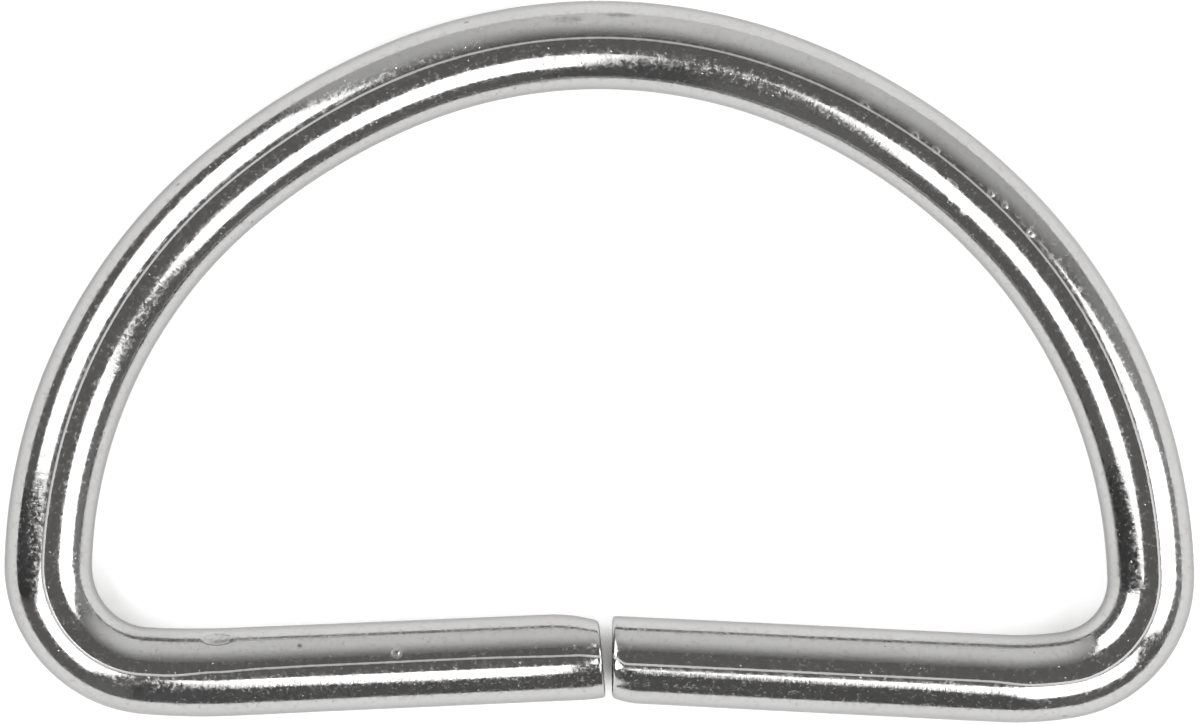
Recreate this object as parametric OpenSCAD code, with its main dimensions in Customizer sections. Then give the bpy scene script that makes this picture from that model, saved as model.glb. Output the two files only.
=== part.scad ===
// D ring for 40 mm webbing: one length of plated round steel wire, bent to a D round a former.
// Its two cut ends meet in the middle of the straight bar, and the joint is left open.
// The ring lies flat on z = 0, with its bar towards -Y and its crown towards +Y. The origin is
// on the ground, under the middle of its outline.

/* [Wire] */
// Diameter of the round wire
wire_d = 3.5; // [2.6:0.1:4.4]

/* [Clear opening] */
// Clear width between the haunches, the size that the ring is sold by
inner_width = 40; // [36:0.5:44]
// Clear height from the right foot up to the crown
inner_height = 21.5; // [19:0.5:24]
// How much higher the left foot ended than the right one
left_foot_lift = 0.25; // [0:0.05:0.6]

/* [Crown] */
// Turn from the crown's top to the left shoulder, in degrees
left_apex_turn = 21.5; // [18:0.5:25]
// Turn of the left shoulder, in degrees
left_shoulder_turn = 19.5; // [16:0.5:22]
// Turn of the left haunch, in degrees
left_haunch_turn = 47.4; // [44:0.2:49]
// Inside radius of the left shoulder, the flattest stretch of the crown
left_shoulder_r = 24; // [20:0.1:28]
// Turn from the crown's top to the right shoulder, in degrees
right_apex_turn = 20; // [17:0.5:23]
// Turn of the right shoulder, in degrees
right_shoulder_turn = 25; // [21:0.5:27]
// Turn of the right haunch, in degrees
right_haunch_turn = 43.4; // [40:0.2:45]
// Inside radius of the right shoulder
right_shoulder_r = 21.9; // [19:0.1:25]

/* [Feet] */
// Inside radius of the left corner, bent round a small pin
left_corner_r = 2.4; // [1.6:0.1:3.6]
// Turn of the slack bend between the left corner and the bar, in degrees
left_run_out_turn = 6.2; // [4:0.2:9]
// Inside radius of that slack bend
left_run_out_r = 30.5; // [20:0.5:40]
// Inside radius of the right corner
right_corner_r = 2.1; // [1.6:0.1:3.6]
// Turn of the slack bend between the right corner and the bar, in degrees
right_run_out_turn = 12; // [8:0.5:14]
// Inside radius of that slack bend
right_run_out_r = 11; // [8:0.5:16]

/* [Straight bar] */
// Rise of the bar's left half towards the joint, in degrees, left by spring-back
left_bar_rise = 2.5; // [1:0.1:4]
// Rise of the bar's right half towards the joint, in degrees
right_bar_rise = 2.85; // [1:0.05:4]

/* [Joint] */
// Gap between the two cut faces, on the wire's centreline
joint_gap = 0.4; // [0.2:0.05:0.8]
// How far the joint lies to the right of the ring's middle
joint_offset = 0.3; // [-2:0.1:2]
// Rounding of the edge of each cut face
face_round = 0.12; // [0.05:0.01:0.25]
// Radius of the roll-over that the shear pressed into the left end, on its inner side
left_roll_r = 8; // [5:0.5:12]
// How far that roll-over falls away at the cut face
left_roll_depth = 0.28; // [0.15:0.01:0.4]
// Radius of the roll-over on the right end, on its outer side
right_roll_r = 3.4; // [2.5:0.1:6]
// How far that roll-over falls away at the cut face
right_roll_depth = 0.2; // [0.15:0.01:0.35]

/* [Dent] */
// Distance of the almond dent from the bar's left half, back along the slack bend
dent_from_bar = 0.85; // [0.5:0.05:1.5]
// Lean of the dent from the wire's top line towards the opening, in degrees
dent_lean = 51; // [30:1:70]
// Radius of the ball whose blow would leave such a dent
dent_ball_r = 9; // [6:0.5:14]
// Depth of the dent
dent_depth = 0.016; // [0.012:0.002:0.04]

/* [Hidden] */
$fn = 96;

wire_r = wire_d / 2;
// Half the width and the whole height of the D, on the wire's centreline
half_width = inner_width / 2 + wire_r;
height = inner_height + wire_d;
// A roll-over starts this far outside the wire, so that it cuts in at a slight angle
roll_start = 0.02;
// Bends meet face to face, so their headings and radii are whole numbers of these small steps
heading_step = 0.01;
radius_step = 0.0001;
// A bend is moved to its place in whole steps of this size and then by the small rest
place_step = 0.01;

// A short core crosses each meeting face, this far inside the wire and this far to either side,
// so that neighbouring bends stay one solid at any size
core_inset = 0.25;
core_reach = 0.2;

// Each half of the ring is a chain of this many bends: apex, shoulder, haunch, corner, run-out
bend_count = 5;

function in_steps(x, step) = round(x / step) * step;

// A heading is how far the wire has turned since the crown's top, in degrees. Bend i of a half
// goes from heading i to heading i + 1.
function headings(apex, shoulder, haunch, run_out, rise) = [
    for (h = [
        0,
        apex,
        apex + shoulder,
        apex + shoulder + haunch,
        180 + rise - run_out,
        180 + rise
    ]) in_steps(h, heading_step)
];

// Centreline radii of a half's bends. The apex and the haunch take the radii that bring the
// half to its width and height, given its headings and the other three bends.
function bend_radii(h, tall, shoulder_in, corner_in, run_out_in) =
    let (
        shoulder = shoulder_in + wire_r,
        corner = corner_in + wire_r,
        run_out = run_out_in + wire_r,
        across = half_width - shoulder * (sin(h[2]) - sin(h[1])) - corner * (1 - sin(h[3])),
        down = tall - shoulder * (cos(h[1]) - cos(h[2])) - corner * (cos(h[3]) - cos(h[4]))
            - run_out * (1 + cos(h[4])),
        apex_across = sin(h[1]),
        apex_down = 1 - cos(h[1]),
        haunch_across = sin(h[3]) - sin(h[2]),
        haunch_down = cos(h[2]) - cos(h[3]),
        share = apex_across * haunch_down - apex_down * haunch_across
    )
    [
        for (r = [
            (across * haunch_down - down * haunch_across) / share,
            shoulder,
            (down * apex_across - across * apex_down) / share,
            corner,
            run_out
        ]) in_steps(r, radius_step)
    ];

// Point where bend i starts, measured from the crown's top
function bend_start(h, r, i) =
    i == 0 ? [0, 0]
    : bend_start(h, r, i - 1)
        + r[i - 1] * [sin(h[i]) - sin(h[i - 1]), cos(h[i]) - cos(h[i - 1])];

function bend_centre(h, r, i) = bend_start(h, r, i) - r[i] * [sin(h[i]), cos(h[i])];

// Length of straight wire from the end of the run-out to a cut face at a distance from the
// ring's middle line
function bar_length(h, r, face) =
    (bend_start(h, r, bend_count).x - face) / -cos(h[bend_count]);

left_h = headings(left_apex_turn, left_shoulder_turn, left_haunch_turn,
    left_run_out_turn, left_bar_rise);
left_r = bend_radii(left_h, height - left_foot_lift, left_shoulder_r,
    left_corner_r, left_run_out_r);
left_bar = bar_length(left_h, left_r, joint_gap / 2 - joint_offset);

right_h = headings(right_apex_turn, right_shoulder_turn, right_haunch_turn,
    right_run_out_turn, right_bar_rise);
right_r = bend_radii(right_h, height, right_shoulder_r, right_corner_r, right_run_out_r);
right_bar = bar_length(right_h, right_r, joint_gap / 2 + joint_offset);

// Moves its children by v, in a coarse move and a fine one that keeps every digit of it
module place(v) {
    coarse = [in_steps(v.x, place_step), in_steps(v.y, place_step)];
    translate(coarse)
        translate(v - coarse)
            children();
}

// Short core inside the wire, along it and across the meeting face at a heading
module core(heading) {
    rotate([0, 90, -heading])
        cylinder(r = wire_r - core_inset, h = 2 * core_reach, center = true);
}

// The bends of a half, from the crown's top to the end of the run-out, each with the core that
// ties it to what follows
module bends(h, r) {
    for (i = [0:bend_count - 1]) {
        place(bend_centre(h, r, i))
            rotate_extrude(angle = h[i + 1] - h[i], start = 90 - h[i + 1])
                translate([r[i], 0])
                    circle(d = wire_d);
        translate(bend_start(h, r, i + 1))
            core(h[i + 1]);
    }
}

// Straight wire along +X, from the origin to a cut face with a rounded edge
module cut_wire(length) {
    rotate([90, 0, 90])
        rotate_extrude() {
            square([wire_r, length - face_round]);
            square([wire_r - face_round, length]);
            translate([wire_r - face_round, length - face_round])
                intersection() {
                    circle(r = face_round);
                    square(face_round);
                }
        }
}

// What a roll-over takes off the +Y side of a cut wire of that length
module roll_over(length, roll_r, depth) {
    fall = depth + roll_start;
    start_x = length - sqrt(2 * roll_r * fall - fall * fall);
    difference() {
        translate([start_x, 0, -wire_r])
            cube([roll_r, wire_d, wire_d]);
        translate([start_x, wire_r + roll_start - roll_r, -wire_d])
            cylinder(r = roll_r, h = 2 * wire_d);
    }
}

// Straight half of the bar, from the end of the run-out to the joint. Its +Y side is the
// ring's outer side before it is turned into place.
module bar(h, r, length) {
    place(bend_start(h, r, bend_count))
        rotate([0, 0, -h[bend_count]])
            difference() {
                cut_wire(length);
                children();
            }
}

// The cap of a ball, sunk by the dent's depth into the left run-out. It is cut square, well
// outside the dent, so that it touches nothing else.
module dent_cap() {
    run_out = bend_count - 1;
    radius = left_r[run_out];
    heading = left_h[bend_count] - dent_from_bar / radius * 180 / PI;
    dent_half_length = sqrt(2 * dent_ball_r * dent_depth);
    translate(bend_centre(left_h, left_r, run_out))
        rotate([0, 0, -heading])
            translate([0, radius, 0])
                rotate([dent_lean, 0, 0])
                    translate([0, 0, wire_r - dent_depth + dent_ball_r])
                        intersection() {
                            sphere(r = dent_ball_r);
                            translate([0, 0, -dent_ball_r])
                                cube(4 * dent_half_length, center = true);
                        }
}

module right_half() {
    bends(right_h, right_r);
    bar(right_h, right_r, right_bar)
        roll_over(right_bar, right_roll_r, right_roll_depth);
}

// The left half, laid out towards +X like the right one
module left_half() {
    difference() {
        union() {
            bends(left_h, left_r);
            bar(left_h, left_r, left_bar)
                mirror([0, 1, 0])
                    roll_over(left_bar, left_roll_r, left_roll_depth);
        }
        dent_cap();
    }
}

module wire_ring() {
    color("silver")
        translate([0, height / 2, wire_r]) {
            core(0);
            right_half();
            mirror([1, 0, 0])
                left_half();
        }
}

wire_ring();
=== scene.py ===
"""Looks of a D ring for 40 mm webbing, bent from plated steel wire and lying on white paper."""

from math import atan2, cos, degrees, hypot, pi, radians, sin

import bmesh
import bpy
from mathutils import Matrix, Vector, noise


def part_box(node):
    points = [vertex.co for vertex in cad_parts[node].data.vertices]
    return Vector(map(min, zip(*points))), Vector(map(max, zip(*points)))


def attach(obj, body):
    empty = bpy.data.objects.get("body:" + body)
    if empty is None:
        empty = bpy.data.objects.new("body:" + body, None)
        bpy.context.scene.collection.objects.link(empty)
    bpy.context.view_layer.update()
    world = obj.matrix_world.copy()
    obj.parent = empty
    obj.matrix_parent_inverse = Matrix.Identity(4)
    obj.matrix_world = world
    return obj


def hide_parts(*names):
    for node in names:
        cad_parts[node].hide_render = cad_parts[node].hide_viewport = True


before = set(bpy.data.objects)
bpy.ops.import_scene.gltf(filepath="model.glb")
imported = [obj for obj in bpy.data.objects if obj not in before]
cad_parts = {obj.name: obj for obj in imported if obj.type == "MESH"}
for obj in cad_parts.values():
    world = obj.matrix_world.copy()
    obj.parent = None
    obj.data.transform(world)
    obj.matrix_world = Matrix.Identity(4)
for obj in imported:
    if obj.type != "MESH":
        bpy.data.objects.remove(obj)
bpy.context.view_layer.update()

# The wire ring. One length of drawn steel wire, sheared off at both ends, bent to a D round a
# former and then plated with bright nickel. The wire is round but for a hairline groove that a
# nick in the drawing die left along its whole length.
MM = 0.001
ring_low, ring_high = (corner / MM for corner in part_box("wire_ring"))
wire_r = (ring_high.z - ring_low.z) / 2
half_width = (ring_high.x - ring_low.x) / 2 - wire_r
height = ring_high.y - ring_low.y - 2 * wire_r
crown_top = Vector((0, height / 2, wire_r))

# Each half has five bends, from the crown's top to the bar. Turns and the bar's rise are in
# degrees, radii and other sizes in millimetres, and cut_x is where the half's cut end lies.
left = dict(
    side=-1, apex=21.5, shoulder=19.5, haunch=47.4, run_out=6.2, rise=2.5,
    tall=height - 0.25, shoulder_r=24, corner_r=2.4, run_out_r=30.5, cut_x=0.1,
)
right = dict(
    side=1, apex=20, shoulder=25, haunch=43.4, run_out=12, rise=2.85,
    tall=height, shoulder_r=21.9, corner_r=2.1, run_out_r=11, cut_x=0.5,
)


def bends_of(half):
    """Bends of a half as (distance along the wire, length, heading, radius, start point)."""
    shoulder_from = radians(half["apex"])
    haunch_from = shoulder_from + radians(half["shoulder"])
    corner_from = haunch_from + radians(half["haunch"])
    bar_heading = pi + radians(half["rise"])
    run_out_from = bar_heading - radians(half["run_out"])
    headings = (0, shoulder_from, haunch_from, corner_from, run_out_from, bar_heading)
    shoulder_r, corner_r, run_out_r = (
        half[name] + wire_r for name in ("shoulder_r", "corner_r", "run_out_r"))
    # apex and haunch take what the ring's width and height leave them
    across = (half_width - shoulder_r * (sin(haunch_from) - sin(shoulder_from))
              - corner_r * (1 - sin(corner_from)))
    down = (half["tall"] - shoulder_r * (cos(shoulder_from) - cos(haunch_from))
            - corner_r * (cos(corner_from) - cos(run_out_from))
            - run_out_r * (1 + cos(run_out_from)))
    apex_across, apex_down = sin(shoulder_from), 1 - cos(shoulder_from)
    haunch_across = sin(corner_from) - sin(haunch_from)
    haunch_down = cos(haunch_from) - cos(corner_from)
    share = apex_across * haunch_down - apex_down * haunch_across
    apex_r = (across * haunch_down - down * haunch_across) / share
    haunch_r = (down * apex_across - across * apex_down) / share
    stretches = []
    at, start = 0.0, crown_top.copy()
    for i, r in enumerate((apex_r, shoulder_r, haunch_r, corner_r, run_out_r)):
        h, h_end = headings[i], headings[i + 1]
        stretches.append((at, r * (h_end - h), h, r, start.copy()))
        at += r * (h_end - h)
        start += half["side"] * r * Vector((sin(h_end) - sin(h), 0, 0))
        start += r * Vector((0, cos(h_end) - cos(h), 0))
    bar = abs((half["cut_x"] - start.x) / cos(bar_heading))
    stretches.append((at, bar, bar_heading, None, start))
    return stretches


for half in (left, right):
    half["bends"] = bends_of(half)
    half["length"] = half["bends"][-1][0] + half["bends"][-1][1]


def place_on_ring(s):
    """Centre of the wire, its direction and the way outwards, at s mm along it from the crown."""
    half = right if s >= 0 else left
    side = half["side"]
    at, _, heading, r, start = next(
        b for b in reversed(half["bends"]) if abs(s) >= b[0] or b is half["bends"][0])
    gone = abs(s) - at
    if r is None:
        centre = start + gone * Vector((side * cos(heading), -sin(heading), 0))
    else:
        turned = heading + gone / r
        centre = start + r * Vector(
            (side * (sin(turned) - sin(heading)), cos(turned) - cos(heading), 0))
        heading = turned
    outwards = Vector((side * sin(heading), cos(heading), 0))
    return centre, Vector((outwards.y, -outwards.x, 0)), outwards


# Where the groove lies round the wire, which twisted a little as it was bent, how deep it is, and
# how thick the bends left the wire across. Each row is: mm along the wire, then degrees from the
# top outwards, a share of the groove's depth, or a share of the wire's thickness.
groove_run = (
    (-57.3, 0.5), (-56.2, -2.9), (-52, -4.8), (-46, -4.4), (-44, -3.6), (-42, -1.2), (-40, 3.8),
    (-37, 6), (-28, 4), (-22, 4.6), (-15, 5.9), (-6, 8.2), (3, 8.4), (15, 9.7), (22, 10.4),
    (32, 10.2), (38, 9.5), (40, 8), (42, 3.6), (50, 3.9), (56.3, 4.5), (57.1, -9),
)
groove_depth_run = ((-57.3, 1), (-8, 1), (4, 0.6), (57.1, 0.6))
thickness_run = (
    (-57.3, 0.985), (-47, 0.99), (-42, 0.998), (-37, 0.972), (-33, 0.99), (-25, 1), (25, 1),
    (32, 0.99), (36, 0.972), (41, 0.992), (48, 0.99), (57, 0.98),
)


def eased(x):
    """Smooth rise from 0 to 1 while x goes from 0 to 1."""
    x = min(max(x, 0.0), 1.0)
    return x * x * (3 - 2 * x)


def on_run(run, s):
    """Value of a run of (mm along the wire, value) at s, eased between its rows."""
    for (s0, value0), (s1, value1) in zip(run, run[1:]):
        if s <= s1:
            return value0 + (value1 - value0) * eased((s - s0) / (s1 - s0))
    return run[-1][1]


# Small marks under and in the plating. Each row is: mm along the wire, degrees from the top
# outwards, half length, half width, height at the middle (sunk if negative), and the depth of a
# hollow in the middle of a raised one.
marks = (
    (-42.1, -51.5, 0.66, 0.4, -0.048, 0),  # almond dent, left by the bending tool
    (-45.35, -32.5, 0.085, 0.08, -0.05, 0),  # pin holes and pits
    (-4.93, 61, 0.1, 0.09, -0.04, 0),
    (-17.32, 57.4, 0.1, 0.09, -0.04, 0),
    (-16.15, -65.6, 0.1, 0.09, -0.04, 0),
    (39.21, 66.8, 0.1, 0.09, -0.04, 0),
    (-49.17, -15.8, 0.26, 0.26, 0.03, 0.06),  # blisters
    (15.74, -29.4, 0.17, 0.15, 0.04, 0.05),
    (16.42, -30.9, 0.15, 0.14, 0.04, 0.05),
    (16.7, 14.2, 0.18, 0.16, 0.045, 0.06),
    (17.38, 16.7, 0.17, 0.17, 0.045, 0.06),
    (18.84, 15.4, 0.2, 0.18, 0.05, 0.07),
    (10.75, 12, 0.17, 0.15, 0.04, 0.045),
    (13, 12, 0.21, 0.15, 0.045, 0.05),
    (14, 12, 0.2, 0.15, 0.04, 0.045),
    (-46.93, 1.9, 0.06, 0.16, -0.02, 0),  # scratch across the bar
)
# Ends of the wire, as the shear left them: where they fall away, or rise to a burr. Each row is:
# degrees from the top outwards, how far round it reaches in degrees, length, slope at the cut
# (below 0 for a burr), and how much of it keeps to the cut.
left["falls"] = ((-90, 80, 2.1, 0.32, 1), (80, 60, 1.0, 0.14, 1))
right["falls"] = ((90, 80, 1.15, 0.338, 1), (8, 80, 0.9, 0.4, 3))
# how far each cut is off square, in degrees
left["skew"] = 2.7
right["skew"] = 2.3
skew_reach = 1.6
edge_round = 0.13
# A mark whose half length is over this is a dent with steep walls, and a shorter one fades out
# softly. A blister's hollow takes up this share of it.
dent_half_long = 0.3
dent_power, soft_power = 0.7, 2
hollow_share = 0.3


def relief(s, lean):
    """How far a place stands proud of the plain round wire, and whether a blister is there."""
    proud, blistered = 0.0, 0.0
    for mark_s, mark_lean, half_long, half_wide, rise, hollow in marks:
        x = (s - mark_s) / half_long
        y = (lean - radians(mark_lean)) * wire_r / half_wide
        out = x * x + y * y
        if out < 1:
            proud += rise * (1 - out) ** (dent_power if half_long > dent_half_long else soft_power)
            if hollow:
                blistered = max(blistered, eased(4 * out * (1 - out)))
                proud -= hollow * max(0, 1 - out / hollow_share) ** soft_power
    half = right if s >= 0 else left
    left_over = half["length"] - abs(s)
    for fall_lean, reach, run, slope, power in half["falls"]:
        if left_over < run:
            sunk = slope * run / (power + 1) * (1 - left_over / run) ** (power + 1)
            around = abs(degrees(lean) - fall_lean)
            around = min(around, 360 - around)
            proud -= sunk * eased(1 - around / reach) if around < reach else 0
    return proud, blistered


# The section is a ring of edges, made at the left end from its top: half of it is swept round to
# the bottom in steps that are fine in the groove and coarse underneath, and mirrored.
groove_width = 0.12
groove_depth = 0.005
groove_steps = 4
shoulder_step = 1.3
upper_step, upper_steps = 2.4, 40
lower_steps = 12
groove_step = degrees(groove_width / 2 / wire_r) / (groove_steps - 1)
upper_end = groove_step * groove_steps + shoulder_step + upper_step * upper_steps

wire = bmesh.new()
end = wire.verts.new((-left["length"] + edge_round, 0, wire_r))
for step, count in ((groove_step, groove_steps), (shoulder_step, 1), (upper_step, upper_steps),
                    ((180 - upper_end) / lower_steps, lower_steps)):
    for _ in range(count):
        turned = bmesh.ops.spin(
            wire, geom=[end], cent=(0, 0, 0), axis=(-1, 0, 0), dvec=(0, 0, 0),
            angle=radians(step), steps=1, use_merge=False, use_duplicate=False)
        end = next(g for g in turned["geom_last"] if isinstance(g, bmesh.types.BMVert))
bmesh.ops.mirror(wire, geom=wire.verts[:] + wire.edges[:], matrix=Matrix.Identity(4),
                 merge_dist=wire_r * 1e-4, axis="Y")
for v in wire.verts:
    away = abs(atan2(v.co.y, v.co.z)) * wire_r
    if away < groove_width / 2:
        depth = groove_depth * (0.5 + 0.5 * cos(2 * pi * away / groove_width))
        v.co.yz *= 1 - depth / wire_r

# The straight wire is drawn out from that ring, with closer rings where the small marks are
coarse_step = 0.17
fine_step = 0.065
fine_stretches = ((-58, -55), (-49.5, -48.9), (-47.1, -46.8), (-45.5, -45.2), (-42.6, -41.2),
                  (-17.5, -17.1), (-16.3, -16), (-5.1, -4.8), (10.6, 10.9), (12.8, 14.2),
                  (15.5, 17.6), (18.6, 19.1), (39.1, 39.4), (55, 58))
first_s = -left["length"] + edge_round
last_s = right["length"] - edge_round


def drawn_out(ring):
    """Draws a new ring out of a ring of edges, and returns its vertices and its edges."""
    grown = bmesh.ops.extrude_edge_only(wire, edges=ring)["geom"]
    verts = [g for g in grown if isinstance(g, bmesh.types.BMVert)]
    among = set(verts)
    edges = [g for g in grown if isinstance(g, bmesh.types.BMEdge)
             and g.verts[0] in among and g.verts[1] in among]
    return verts, edges


borders = sorted({x for pair in fine_stretches for x in pair if first_s < x < last_s})
borders += [last_s]
ring = wire.edges[:]
at = first_s
for border in borders:
    ring_verts, ring = drawn_out(ring)
    bmesh.ops.translate(wire, verts=ring_verts, vec=(border - at, 0, 0))
    fine = any(a <= (at + border) / 2 <= b for a, b in fine_stretches)
    cuts = round((border - at) / (fine_step if fine else coarse_step)) - 1
    long_edges = [e for v in ring_verts for e in v.link_edges if e not in ring]
    if cuts > 0:
        bmesh.ops.subdivide_edges(wire, edges=long_edges, cuts=cuts)
    at = border

# The cut ends: an edge rounded by the plating's tumbling, then the torn face
round_steps = 4
face_shares = (0.86, 0.7, 0.5, 0.28, 0.1)
for side in (-1, 1):
    ring = [e for e in wire.edges if e.is_boundary and e.verts[0].co.x * side > 0]
    radius, gone = wire_r, 0.0
    for i in range(1, round_steps + 1):
        a = pi / 2 * i / round_steps
        new_radius = wire_r - edge_round * (1 - cos(a))
        ring_verts, ring = drawn_out(ring)
        bmesh.ops.translate(wire, verts=ring_verts, vec=(side * (edge_round * sin(a) - gone), 0, 0))
        gone = edge_round * sin(a)
        bmesh.ops.scale(wire, verts=ring_verts, vec=(1, new_radius / radius, new_radius / radius))
        radius = new_radius
    for share in face_shares:
        new_radius = wire_r * share
        ring_verts, ring = drawn_out(ring)
        bmesh.ops.scale(wire, verts=ring_verts, vec=(1, new_radius / radius, new_radius / radius))
        radius = new_radius
    ring_verts, ring = drawn_out(ring)
    bmesh.ops.pointmerge(wire, verts=ring_verts, merge_co=(ring_verts[0].co.x, 0, 0))

# Stretches where the plating is rough. Each row is: mm along the wire from and to, degrees from
# the top from and to, how strongly it is scratched across, and how thickly it is specked, both
# from 0 to 1. They fade in and out over the two lengths below.
rough_patches = (
    (-56.9, -55.8, 8, 46, 0, 1.0),
    (-55.6, -42.6, 17, 34, 0.3, 0.35),
    (-32.6, -29.5, 8, 34, 0.15, 0.12),
    (-27, -17.5, -34, -16, 0.25, 0.1),
    (-8, 4, -34, 12, 0.1, 0.03),
    (4, 18, -30, 12, 0.15, 0.1),
    (41, 56.8, 14, 42, 0.4, 0.25),
    (28, 34.5, -42, -14, 0.15, 0.0),
)
patch_fade_mm = 2
patch_fade_degrees = 6
# The left half of the bar sags towards the joint and turns up again at the cut, and both halves
# were pressed flatter on their outer side. Both are fractions of a millimetre that only show in
# the reflections. Each row is: mm along the wire, and the slope there, or the depth in mm.
sag_run = (
    (-57.2, -0.14), (-56.5, -0.05), (-55.7, 0.015), (-55.2, 0.025), (-42.4, 0.028), (-41, 0.034),
    (-38.6, 0), (40, 0),
)
pressed_run = (
    (-57.5, 0.08), (-56, 0.075), (-54, 0.053), (-50, 0.053), (-46, 0.062), (-42, 0.07),
    (-41, 0.066), (-38.6, 0), (40, 0), (42, 0.07), (46, 0.095), (54, 0.12), (57.5, 0.14),
)
# Painted shade in the pits, and smears of dirt. Each row is: mm along the wire, degrees from the
# top outwards, half length, half width, and how dark from 0 to 1.
pit_shade_and_smears = (
    (-45.35, -32.5, 0.14, 0.13, 1.0),
    (-4.93, 61, 0.12, 0.11, 0.8),
    (-17.32, 57.4, 0.12, 0.11, 0.8),
    (-16.15, -65.6, 0.12, 0.11, 0.7),
    (39.21, 66.8, 0.12, 0.11, 0.7),
    (0.72, 42.4, 0.7, 0.16, 0.5),
    (-1.2, 36, 0.9, 0.2, 0.35),
)
spot_sharpness = 1.5


def roughness_at(s, lean):
    """How strongly a place is scratched across, and how thickly it is specked."""
    lean = degrees(lean)
    scratched = specked = 0.0
    for s_from, s_to, lean_from, lean_to, most_scratched, most_specked in rough_patches:
        inside = min((s - s_from) / patch_fade_mm, (s_to - s) / patch_fade_mm,
                     (lean - lean_from) / patch_fade_degrees,
                     (lean_to - lean) / patch_fade_degrees)
        edge = eased(inside + 0.5)
        scratched = max(scratched, most_scratched * edge)
        specked = max(specked, most_specked * edge)
    return scratched, specked


def pit_shade_and_dirt_at(s, lean):
    """Share of painted shade in the pits and of dirt in the smears, at a place."""
    most = 0.0
    for spot_s, spot_lean, half_long, half_wide, dark in pit_shade_and_smears:
        x = (s - spot_s) / half_long
        y = (lean - radians(spot_lean)) * wire_r / half_wide
        most = max(most, dark * eased(spot_sharpness * (1 - hypot(x, y))))
    return most


# The bending: each point of the straight wire goes to its place on the ring, with its relief.
# Attributes stay with it for the plating: its place on the straight wire, how scratched, specked,
# dirty and dull it is, the shade painted into its pits, and how far it sags or was pressed in.
# All lengths are in millimetres.
straight = wire.verts.layers.float_vector.new("straight_wire")
scratches = wire.verts.layers.float.new("scratches")
specks = wire.verts.layers.float.new("specks")
pit_shade_and_dirt = wire.verts.layers.float.new("pit_shade_and_dirt")
dull = wire.verts.layers.float.new("dull")
sag = wire.verts.layers.float.new("sag")
pressed = wire.verts.layers.float.new("pressed")
# the groove lies within this angle of its place, in radians, and is duller than a blister
groove_reach = 0.05
blister_dullness = 0.6
# the drawn wire is slightly wavy, and each cut face is torn, less so towards its edge
wave_height, wave_length, waves_round = 0.003, 3.5, 1.3
torn_height, tears_per_mm, less_at_edge = 0.03, 1.7, 0.6
sagged = {}
last_at, height_there = -left["length"], 0.0
for key in sorted({round(v.co.x, 5) for v in wire.verts}):
    height_there += (key - last_at) * on_run(sag_run, (key + last_at) / 2)
    sagged[key] = height_there
    last_at = key
places = {}
for v in wire.verts:
    s = v.co.x
    key = round(s, 5)
    if key not in places:
        places[key] = (
            *place_on_ring(s), radians(on_run(groove_run, s)), on_run(groove_depth_run, s),
            on_run(thickness_run, s))
    centre, onwards, outwards, twist, groove_share, thickness = places[key]
    lean = atan2(v.co.y, v.co.z) + twist
    out = hypot(v.co.y, v.co.z)
    in_groove = 0.0
    if abs(lean - twist) < groove_reach:
        in_groove = eased(2 * (wire_r - out) / groove_depth)
    if in_groove:
        out = wire_r - (wire_r - out) * groove_share
    half = right if s >= 0 else left
    # 1 outside, and on a cut face the share of the way from its middle to its edge
    share = min(1.0, out / (wire_r - edge_round))
    proud, blistered = relief(s, lean)
    wave = noise.noise(
        Vector((s / wave_length, waves_round * sin(lean), waves_round * cos(lean))))
    out += (proud + wave_height * (wave - 1)) * share
    across, up = out * sin(lean), out * cos(lean)
    torn = 0.0
    if share < 0.99:
        tear = noise.noise(Vector((s, across * tears_per_mm, up * tears_per_mm)))
        torn = torn_height * tear * (1 - less_at_edge * share)
    left_over = half["length"] - abs(s)
    skewed = -sin(radians(half["skew"])) * across * eased(1 - left_over / skew_reach)
    v[straight] = (s, across, up)
    v[scratches], v[specks] = roughness_at(s, lean)
    v[pit_shade_and_dirt] = pit_shade_and_dirt_at(s, lean)
    v[dull] = max(in_groove, blister_dullness * blistered)
    v[sag] = sagged[key]
    v[pressed] = on_run(pressed_run, s)
    v.co = centre + across * thickness * outwards + Vector((0, 0, up)) + (skewed + torn) * onwards

wire.normal_update()
bmesh.ops.recalc_face_normals(wire, faces=wire.faces[:])
bmesh.ops.scale(wire, vec=(MM, MM, MM), verts=wire.verts[:])
wire_mesh = bpy.data.meshes.new("bent_wire")
wire.to_mesh(wire_mesh)
wire.free()
wire_mesh.shade_smooth()
ring_piece = bpy.data.objects.new("bent_wire", wire_mesh)
bpy.context.scene.collection.objects.link(ring_piece)

# The plating: bright nickel over steel that was drawn, bent and tumbled. It is streaked across
# the wire, finely grained and pitted, and a little brown where it is thin.
nickel_dark = (0.358, 0.356, 0.353, 1)
nickel_light = (0.378, 0.378, 0.378, 1)
nickel_glancing = (0.62, 0.62, 0.62, 1)
thin_brown = (0.26, 0.215, 0.2, 1)
# near black, for the shade painted into the pits and for the smears of dirt
pit_shade_and_dirt_colour = (0.06, 0.055, 0.05, 1)
smooth_roughness, uneven_roughness = 0.07, 0.2
speck_roughness, dull_roughness = 0.27, 0.4
plating = bpy.data.materials.new("plated_wire")
plating.use_nodes = True
nodes, links = plating.node_tree.nodes, plating.node_tree.links
shader = nodes["Principled BSDF"]
shader.inputs["Metallic"].default_value = 1
shader.inputs["Specular Tint"].default_value = nickel_glancing


def node(kind, **inputs):
    """Adds a node to the plating. Inputs are values or other nodes' outputs, and _6 is input 6."""
    made = nodes.new(kind)
    for name, value in inputs.items():
        socket = made.inputs[int(name[1:]) if name[1:].isdigit() else name.replace("_", " ")]
        if isinstance(value, bpy.types.NodeSocket):
            links.new(value, socket)
        else:
            socket.default_value = value
    return made


def attribute(name):
    """Reads an attribute of the wire."""
    made = node("ShaderNodeAttribute")
    made.attribute_name = name
    return made


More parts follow.
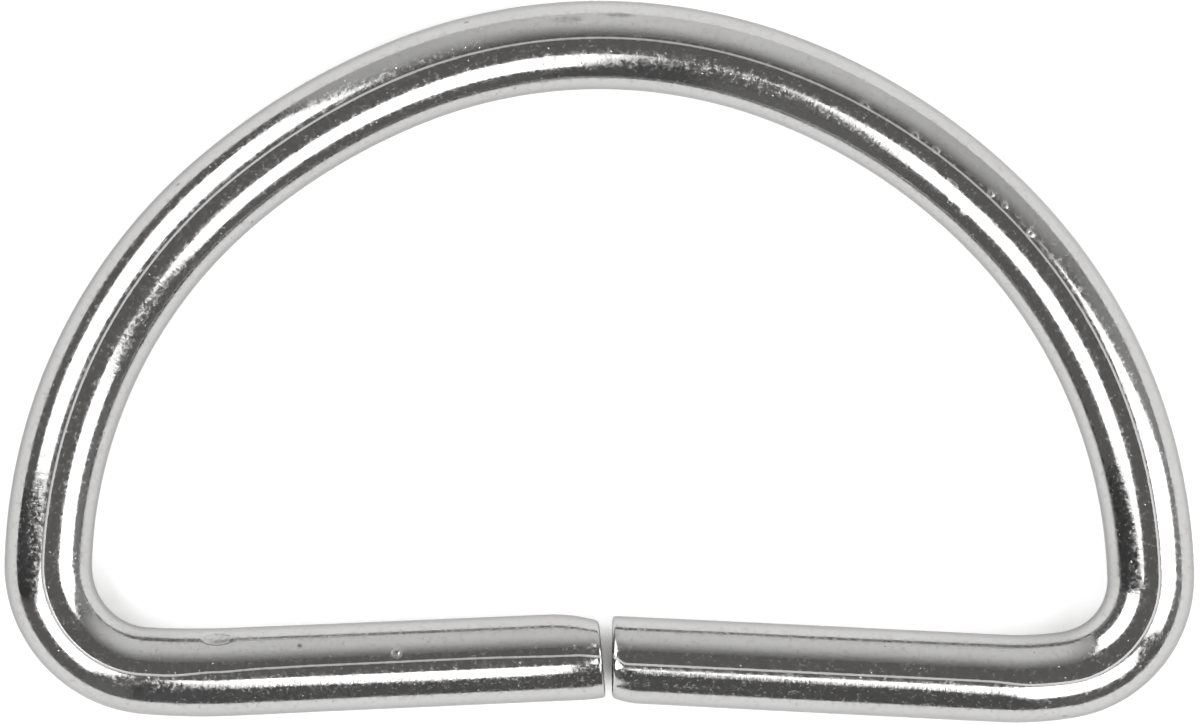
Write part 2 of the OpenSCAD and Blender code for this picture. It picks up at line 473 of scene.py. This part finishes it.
def noise_at(scale, stretch=(1, 1, 1), detail=3, roughness=0.55):
    """Noise on the straight wire, with so many grains to a millimetre along it and across."""
    mapping = node("ShaderNodeMapping", Vector=on_wire, Scale=stretch)
    made = node("ShaderNodeTexNoise", Vector=mapping.outputs["Vector"], Scale=scale, Detail=detail,
                Roughness=roughness)
    return made.outputs["Fac"]


def reckon(operation, a, b=0.0):
    """Reckons with two values, or with the outputs of other nodes."""
    made = node("ShaderNodeMath", _0=a, _1=b)
    made.operation = operation
    return made.outputs["Value"]


def spread(value, low, high, to_low, to_high):
    """Takes the range low to high to another range, and stops at its ends."""
    made = node("ShaderNodeMapRange", Value=value, From_Min=low, From_Max=high,
                To_Min=to_low, To_Max=to_high)
    return made.outputs["Result"]


on_wire = attribute("straight_wire").outputs["Vector"]
scratched = attribute("scratches").outputs["Fac"]
specked = attribute("specks").outputs["Fac"]
pit_shade_and_dirt_here = attribute("pit_shade_and_dirt").outputs["Fac"]
dulled = attribute("dull").outputs["Fac"]
sag_height = attribute("sag").outputs["Fac"]
pressed_depth = attribute("pressed").outputs["Fac"]
clouds = noise_at(0.5, stretch=(0.6, 1, 1), detail=4)
peel = noise_at(1.5, stretch=(0.7, 1, 1), detail=2)
skin = noise_at(4.2, stretch=(1.2, 0.9, 0.9), detail=3, roughness=0.6)
grain = noise_at(8.5, stretch=(0.8, 1, 1), detail=3, roughness=0.6)
streaks = noise_at(1, stretch=(9, 1.3, 1.3), detail=3, roughness=0.6)
patches = noise_at(1.8, stretch=(1.4, 1, 1), detail=3, roughness=0.6)

# specks of rough plating, sparse everywhere and thick in the rough patches
speck_share = reckon("ADD", specked, spread(patches, 0.4, 0.7, 0, 0.5))
speck = reckon("MULTIPLY", spread(grain, 0.5, 0.66, 0, 1), spread(speck_share, 0, 1, 0.3, 1))
rough = reckon("MAXIMUM", reckon("MULTIPLY", speck, speck_roughness),
               reckon("MULTIPLY", dulled, dull_roughness))
links.new(reckon("ADD", rough, spread(skin, 0.4, 0.68, smooth_roughness, uneven_roughness)),
          shader.inputs["Roughness"])

# colour: nickel grey in soft clouds, a little brown in the specks, dark where dirt sits and where
# shade is painted into the pits
tone = node("ShaderNodeValToRGB", Fac=clouds)
tone.color_ramp.elements[0].position = 0.3
tone.color_ramp.elements[0].color = nickel_dark
tone.color_ramp.elements[1].position = 0.7
tone.color_ramp.elements[1].color = nickel_light
browned = reckon("MULTIPLY", spread(skin, 0.5, 0.7, 0, 1), spread(speck_share, 0, 1, 0.1, 0.55))
brown = node("ShaderNodeMix", Factor=browned, _6=tone.outputs["Color"], _7=thin_brown)
brown.data_type = "RGBA"
# painted shade in the pits and dirt in the smears, broken up by the skin
shaded_and_dirtied = reckon("MULTIPLY", pit_shade_and_dirt_here, spread(skin, 0.3, 0.6, 0.5, 1))
shaded_and_soiled = node("ShaderNodeMix", Factor=shaded_and_dirtied, _6=brown.outputs[2], _7=pit_shade_and_dirt_colour)
shaded_and_soiled.data_type = "RGBA"
links.new(shaded_and_soiled.outputs[2], shader.inputs["Base Color"])

# form: the sag, and the pressing, which sets in a little further out on the right half
pressed_left, pressed_right, pressed_to = radians(8.5), radians(11), radians(38)
section = node("ShaderNodeSeparateXYZ", Vector=on_wire)
lean_here = reckon("ARCTAN2", section.outputs["Y"], section.outputs["Z"])
pressed_from = spread(section.outputs["X"], -1, 1, pressed_left, pressed_right)
flatter = spread(lean_here, pressed_from, pressed_to, 0, 1)
flatter.node.interpolation_type = "SMOOTHSTEP"
form = reckon("SUBTRACT", sag_height, reckon("MULTIPLY", flatter, pressed_depth))

# relief: small pits, orange peel, an uneven skin, scratches across the wire, and the specks.
# Each row is a height, and the metres that a height of 1 stands for.
pits = node("ShaderNodeTexVoronoi", Vector=on_wire, Scale=1.9)
pit_hollow = spread(pits.outputs["Distance"], 0.03, 0.085, 0, 1)
uneven_skin = reckon("MULTIPLY", skin, spread(specked, 0, 1, 0.5, 1))
cross_scratches = reckon("MULTIPLY", spread(streaks, 0.5, 0.75, 0, 1), scratched)
surface = node("ShaderNodeBump", Height=form, Distance=MM, Strength=1)
for height, metres in ((pit_hollow, 6e-6), (peel, 3e-6), (uneven_skin, 3.5e-6),
                       (cross_scratches, 3.5e-6), (speck, 1.2e-6)):
    surface = node("ShaderNodeBump", Height=height, Distance=metres, Strength=1,
                   Normal=surface.outputs["Normal"])
links.new(surface.outputs["Normal"], shader.inputs["Normal"])

wire_mesh.materials.append(plating)
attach(ring_piece, "root")
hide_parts("wire_ring")

# The table under the ring. It is a flat top covered with one sheet of matt white paper, lit to
# just over white. It glows faintly, in place of the light that the lamps' own housings scatter.
table_width = 2.4
paper_white = (0.965, 0.965, 0.965, 1)
paper_glow = 0.1
bpy.ops.mesh.primitive_plane_add(size=table_width)
table = bpy.context.object
table.name = "paper_table"
white = bpy.data.materials.new("white_paper")
white.use_nodes = True
white_shader = white.node_tree.nodes["Principled BSDF"]
white_shader.inputs["Base Color"].default_value = paper_white
white_shader.inputs["Roughness"].default_value = 1
white_shader.inputs["Specular IOR Level"].default_value = 0
white_shader.inputs["Emission Color"].default_value = (1, 1, 1, 1)
white_shader.inputs["Emission Strength"].default_value = paper_glow
table.data.materials.append(white)

# Cards stood on edge round the table: a white paper sweep behind it, matt grey and black boards,
# and a black cloth flag. They only show in the ring's reflections. Each row is: a name, its
# foot's two ends, its height, how far its top leans away, and its tone.
cards = (
    ("paper_sweep", (-0.36, 0.55), (1.0, 0.55), 1.25, 0.1, 0.85),
    ("grey_wall", (0.75, 0.55), (0.95, -0.75), 1.05, 0.1, 0.5),
    ("grey_board", (-0.42, -0.62), (-0.16, -0.74), 0.5, 0.05, 0.4),
    ("black_board", (-0.155, -0.74), (0.08, -0.76), 1.1, 0.1, 0.22),
    ("black_flag", (-0.45, 0.06), (-0.5, -0.14), 0.6, -0.1, 0.1),
)
foot_height = 0.001
for name, start, end, tall, back, tone in cards:
    card = bmesh.new()
    foot = [card.verts.new((*point, foot_height)) for point in (start, end)]
    grown = bmesh.ops.extrude_edge_only(card, edges=[card.edges.new(foot)])["geom"]
    outwards = Vector((start[0] + end[0], start[1] + end[1], 0)).normalized()
    bmesh.ops.translate(card, verts=[g for g in grown if isinstance(g, bmesh.types.BMVert)],
                        vec=outwards * back + Vector((0, 0, tall)))
    card_mesh = bpy.data.meshes.new(name)
    card.to_mesh(card_mesh)
    card.free()
    paper = bpy.data.materials.new(name)
    paper.use_nodes = True
    paper_shader = paper.node_tree.nodes["Principled BSDF"]
    paper_shader.inputs["Roughness"].default_value = 1
    paper_shader.inputs["Specular IOR Level"].default_value = 0
    paper_shader.inputs["Base Color"].default_value = (tone, tone, tone, 1)
    card_mesh.materials.append(paper)
    card_piece = bpy.data.objects.new(name, card_mesh)
    card_piece.visible_camera = False
    bpy.context.scene.collection.objects.link(card_piece)

# The room round it all is dim, with warm grey walls that are far away. It gives the dark bands
# along the wire their tone.
wall_grey = (0.238, 0.233, 0.228, 1)
world = bpy.data.worlds.new("dim_room")
world.use_nodes = True
world.node_tree.nodes["Background"].inputs["Color"].default_value = wall_grey
bpy.context.scene.world = world

# Four softboxes of white cloth on stands round the table, and a wide lamp that lights the paper
# sweep. Each row is: a name, its middle, the two ends of its upper side, its width along that
# side and its depth, in metres, and how bright it is.
lamps = (
    ("softbox_right", (0.375, -0.032, 0.3295), (0.258, -0.161, 0.507), (0.25, 0.177, 0.38),
     0.361, 0.342, 4.6),
    ("softbox_top_left", (-0.2578, 0.197, 0.3805), (-0.169, 0.336, 0.567),
     (-0.269, 0.031, 0.566), 0.321, 0.381, 4.6),
    ("softbox_bottom_left", (-0.198, -0.1555, 0.432), (-0.195, -0.005, 0.558),
     (-0.074, -0.202, 0.577), 0.232, 0.317, 4.6),
    ("softbox_bottom", (0.163, -0.2815, 0.3795), (-0.016, -0.224, 0.51),
     (0.314, -0.248, 0.549), 0.333, 0.314, 4.6),
    ("sweep_lamp", (0.15, 0.12, 0.34), (-0.3, 0.12, 0.6), (0.6, 0.12, 0.6), 0.9, 0.52, 1.02),
)
for name, centre, corner_a, corner_b, width, depth, radiance in lamps:
    centre, corner_a, corner_b = Vector(centre), Vector(corner_a), Vector(corner_b)
    x = (corner_b - corner_a).normalized()
    y = ((corner_a + corner_b) / 2 - centre).normalized()
    z = x.cross(y)
    # a lamp shines along its -Z: a softbox towards the ring, the sweep's lamp away from it
    faces_ring = -1 if name == "sweep_lamp" else 1
    if z.dot(centre) * faces_ring < 0:
        x, z = -x, -z
    light = bpy.data.lights.new(name, "AREA")
    light.shape = "RECTANGLE"
    light.size, light.size_y = width, depth
    light.energy = radiance * pi * width * depth
    lamp = bpy.data.objects.new(name, light)
    lamp.matrix_world = Matrix.Translation(centre) @ Matrix((x, y, z)).transposed().to_4x4()
    bpy.context.scene.collection.objects.link(lamp)

# The camera looks straight down on the ring from an arm over the table. Its long lens takes in
# the frame's width at the height of the wire's middle.
frame_width = 0.04734
camera_x, camera_y, camera_height = 0.00002, -0.000022, 0.6
camera_data = bpy.data.cameras.new("camera")
camera_data.sensor_width = 36
camera_data.lens = camera_data.sensor_width * (camera_height - wire_r * MM) / frame_width
camera = bpy.data.objects.new("camera", camera_data)
camera.location = (camera_x, camera_y, camera_height)
bpy.context.scene.collection.objects.link(camera)
bpy.context.scene.camera = camera
bpy.context.scene.view_settings.view_transform = "Standard"
